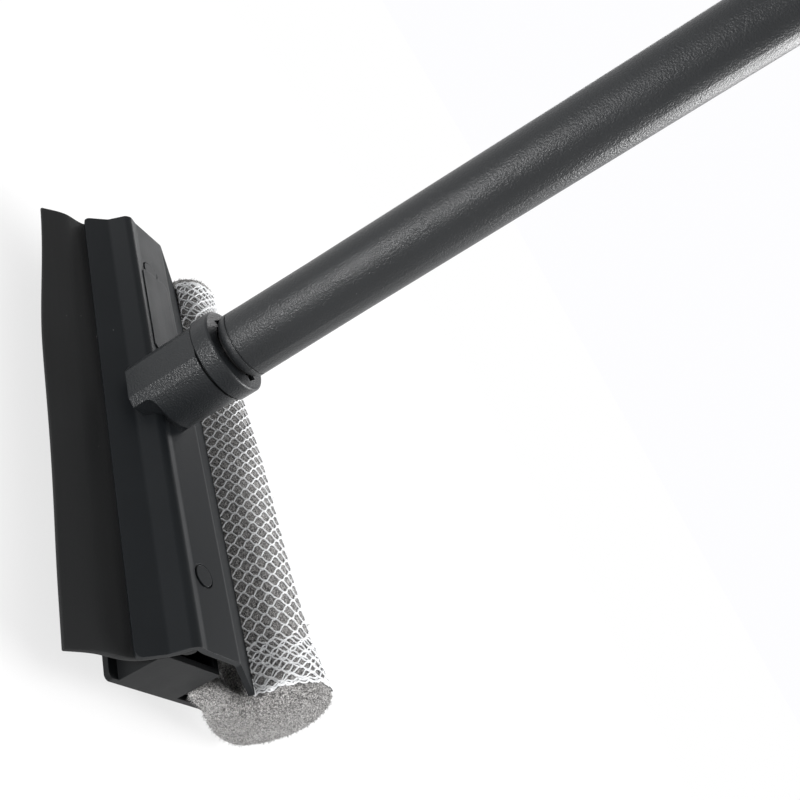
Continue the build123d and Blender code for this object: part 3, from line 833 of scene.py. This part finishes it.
def net_threads(x_start, x_end, pitch, lift, drift, seed, shift=0.0, slope=0.0):
    """The paths of one layer of net as (points, normals) pairs."""
    paths = []
    count = int(round((x_end - x_start) / (pitch / 2)))
    t = np.arange(0, WRAP_LENGTH, THREAD_STEP)
    for k in range(count + 1):
        nominal = x_start + (x_end - x_start) * k / count
        reach, offset, rise = thread_course(t, 1 if k % 2 == 0 else -1, pitch, shift)
        x = nominal + offset + slope * (t - WRAP_LENGTH / 2)
        if k in (0, count):
            x = x - reach * EDGE_DRAW
        dx, dt = wandering(x, t, drift, seed)
        height = lift + rise + rng.normal(0, LIFT_SPREAD)
        paths.append(on_roll(x + dx, np.clip(t + dt, 0, WRAP_LENGTH), height))
    return paths


def tubes(name, paths, radius, sides=5):
    """One mesh of closed round tubes along the paths, whose normals keep them from twisting."""
    verts, faces = [], []
    count = 0
    for points, normals in paths:
        tangent = np.gradient(points, axis=0)
        tangent /= np.linalg.norm(tangent, axis=1)[:, None]
        side = np.cross(tangent, normals)
        side /= np.linalg.norm(side, axis=1)[:, None]
        up = np.cross(side, tangent)
        size = radius * (1 + THREAD_UNEVEN * np.sin(np.arange(len(points)) * THREAD_BEAT))
        angles = np.linspace(0, 2 * math.pi, sides, endpoint=False)
        ring = [
            points + (size * math.cos(a))[:, None] * side + (size * math.sin(a))[:, None] * up for a in angles
        ]
        verts.append(np.stack(ring, axis=1).reshape(-1, 3))
        rows = len(points)
        faces += grid_faces(rows, sides, closed=True, first=count)
        faces.append(tuple(count + i for i in range(sides - 1, -1, -1)))
        faces.append(tuple(count + (rows - 1) * sides + i for i in range(sides)))
        count += rows * sides
    made = mesh_object(name, place(np.vstack(verts)), faces)
    made.data.materials.append(yarn_white)
    return made


def edge_thread(x_at, wobble, lift, seed):
    """A loose thread along the net's cut edge."""
    t = np.arange(0, WRAP_LENGTH, THREAD_STEP)
    at = np.column_stack([np.full(len(t), x_at), t, np.zeros(len(t))])
    scallop = EDGE_SCALLOP * wobble * np.sin(t * 2 * math.pi / HALF_COLUMN)
    x = x_at + wobble * ripple(at, EDGE_LUMP, seed) + scallop
    high = lift + EDGE_LIFT_SPREAD * ripple(at, EDGE_LIFT_LUMP, seed + 3)
    return on_roll(x, t, high)


main_paths = net_threads(NET_FAR, NET_NEAR, ROW_PITCH, 0.12, 0.55, 1)
hem_paths = (
    net_threads(NET_NEAR - HEM_DEPTH, NET_NEAR + 0.3, ROW_PITCH * 0.8, 0.55, 0.8, 11, shift=2.1, slope=0.012)
    + net_threads(NET_FAR, NET_FAR + HEM_DEPTH, ROW_PITCH * 0.75, 0.55, 0.7, 13, shift=1.5, slope=-0.01)
    + [edge_thread(NET_NEAR + 0.4, 0.8, 0.45, 21), edge_thread(NET_NEAR - 0.5, 0.9, 0.6, 22)]
    + [edge_thread(NET_FAR - 0.3, 0.8, 0.45, 23), edge_thread(NET_FAR + 0.6, 0.9, 0.6, 24)]
)
net = tubes("net_cover_threads", main_paths, THREAD_RADIUS)
hem = tubes("net_hem_threads", hem_paths, THREAD_RADIUS * 0.95)
for piece in (net, hem):
    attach(piece, "head")
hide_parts("net_cover")


# ---- foam piece ---------------------------------------------------------------------------------
PRESS_DEPTH = 0.38 * MM         # how far a thread sinks into the foam
PRESS_WIDTH = 0.9 * MM
CELL_RISE = 0.16 * MM           # how far the foam stands up inside a cell
CELL_RISE_FROM = (1.0 * MM, 2.0 * MM)   # distances from the nearest thread
CELL_RISE_TO = (2.6 * MM, 4.0 * MM)
BARE_FROM = (1.0 * MM, 3.0 * MM)
GRAIN = 0.22 * MM
GRAIN_SIZE = 1.5 * MM
COARSE_SHARE = 0.8
FINE_SHARE = 0.55
UNDER_NET = 0.6                 # share of the grain that shows under the net
MORE_WHEN_BARE = 0.6
SWELL = 0.35 * MM               # broad unevenness of the bare foam
SWELL_SIZE = 9 * MM

parts = [roll_mesh(), tongue_mesh()] + [lump_mesh(*lump) for lump in LUMPS]
foam_mesh = fused(parts, FOAM_VOXEL, FOAM_SMOOTHING)
foam_verts, foam_normals = mesh_arrays(foam_mesh)
thread_points = place(np.vstack([points for points, _ in main_paths]))
tree = KDTree(len(thread_points))
for index, point in enumerate(thread_points):
    tree.insert(point, index)
tree.balance()
gap = np.array([tree.find(v)[2] for v in foam_verts])
in_cell = CELL_RISE * smoothstep(*CELL_RISE_FROM, gap) * (1 - smoothstep(*CELL_RISE_TO, gap))
pressed = PRESS_DEPTH * np.exp(-((gap / PRESS_WIDTH) ** 2)) - in_cell
bare = smoothstep(*BARE_FROM, gap)
coarse = ripple(foam_verts, GRAIN_SIZE, 3)
fine = rng.normal(0, 1, len(foam_verts))
grain = GRAIN * (COARSE_SHARE * coarse + FINE_SHARE * fine) * (UNDER_NET + MORE_WHEN_BARE * bare)
move = -pressed + grain + SWELL * ripple(foam_verts, SWELL_SIZE, 4) * bare
foam_verts = foam_verts + foam_normals * move[:, None]
foam_mesh.vertices.foreach_set("co", foam_verts.astype(np.float32).ravel())
foam_mesh.update()
foam_mesh.shade_smooth()
foam_mesh.materials.clear()
foam_mesh.materials.append(foam_grey)
foam_body = bpy.data.objects.new("foam_sponge_body", foam_mesh)
bpy.context.scene.collection.objects.link(foam_body)
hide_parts("foam_sponge")
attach(foam_body, "head")


# ---- foam fuzz: loose cell walls that stand off the surface ---------------------------------------
FUZZ_COUNT = 12000
FUZZ_LENGTH = (0.6, 1.7)
FUZZ_RADIUS = 0.11
BARE_ENOUGH = 0.5               # spikes grow only where the foam is this bare, from 0 to 1
FUZZ_LEAN = 0.54                # spread of the spikes about the foam's normal
FUZZ_LOWEST = 0.002             # none is rooted below this height, in metres

bare_places = np.flatnonzero((bare > BARE_ENOUGH) & (foam_verts[:, 2] > FUZZ_LOWEST))
picked = rng.choice(bare_places, FUZZ_COUNT, replace=False)
roots = foam_verts[picked]
leaning = foam_normals[picked] + rng.normal(0, FUZZ_LEAN, (FUZZ_COUNT, 3))
leaning /= np.linalg.norm(leaning, axis=1)[:, None]
crosswise = np.cross(leaning, rng.normal(0, 1, (FUZZ_COUNT, 3)))
crosswise /= np.linalg.norm(crosswise, axis=1)[:, None]
upright = np.cross(leaning, crosswise)
lengths = rng.uniform(*FUZZ_LENGTH, FUZZ_COUNT)[:, None] * MM
fuzz_verts, fuzz_faces = [], []
for turn in (0.0, 2 * math.pi / 3, 4 * math.pi / 3):
    fuzz_verts.append(roots + (crosswise * math.cos(turn) + upright * math.sin(turn)) * FUZZ_RADIUS * MM)
fuzz_verts.append(roots + leaning * lengths)
fuzz_verts = np.stack(fuzz_verts, axis=1).reshape(-1, 3)
for first in range(0, 4 * FUZZ_COUNT, 4):
    for a, b, c in ((0, 1, 3), (1, 2, 3), (2, 0, 3), (0, 2, 1)):
        fuzz_faces.append((first + a, first + b, first + c))
fuzz = mesh_object("foam_fuzz", fuzz_verts, fuzz_faces)
fuzz.data.materials.append(foam_grey)
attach(fuzz, "head")


# ---- floor --------------------------------------------------------------------------------------
floor_verts = [(sx * FLOOR_SIZE, sy * FLOOR_SIZE, FLOOR_Z) for sx, sy in ((-1, -1), (1, -1), (1, 1), (-1, 1))]
floor = mesh_object("floor", floor_verts, [(0, 1, 2, 3)])
floor.data.materials.append(studio_floor("floor"))
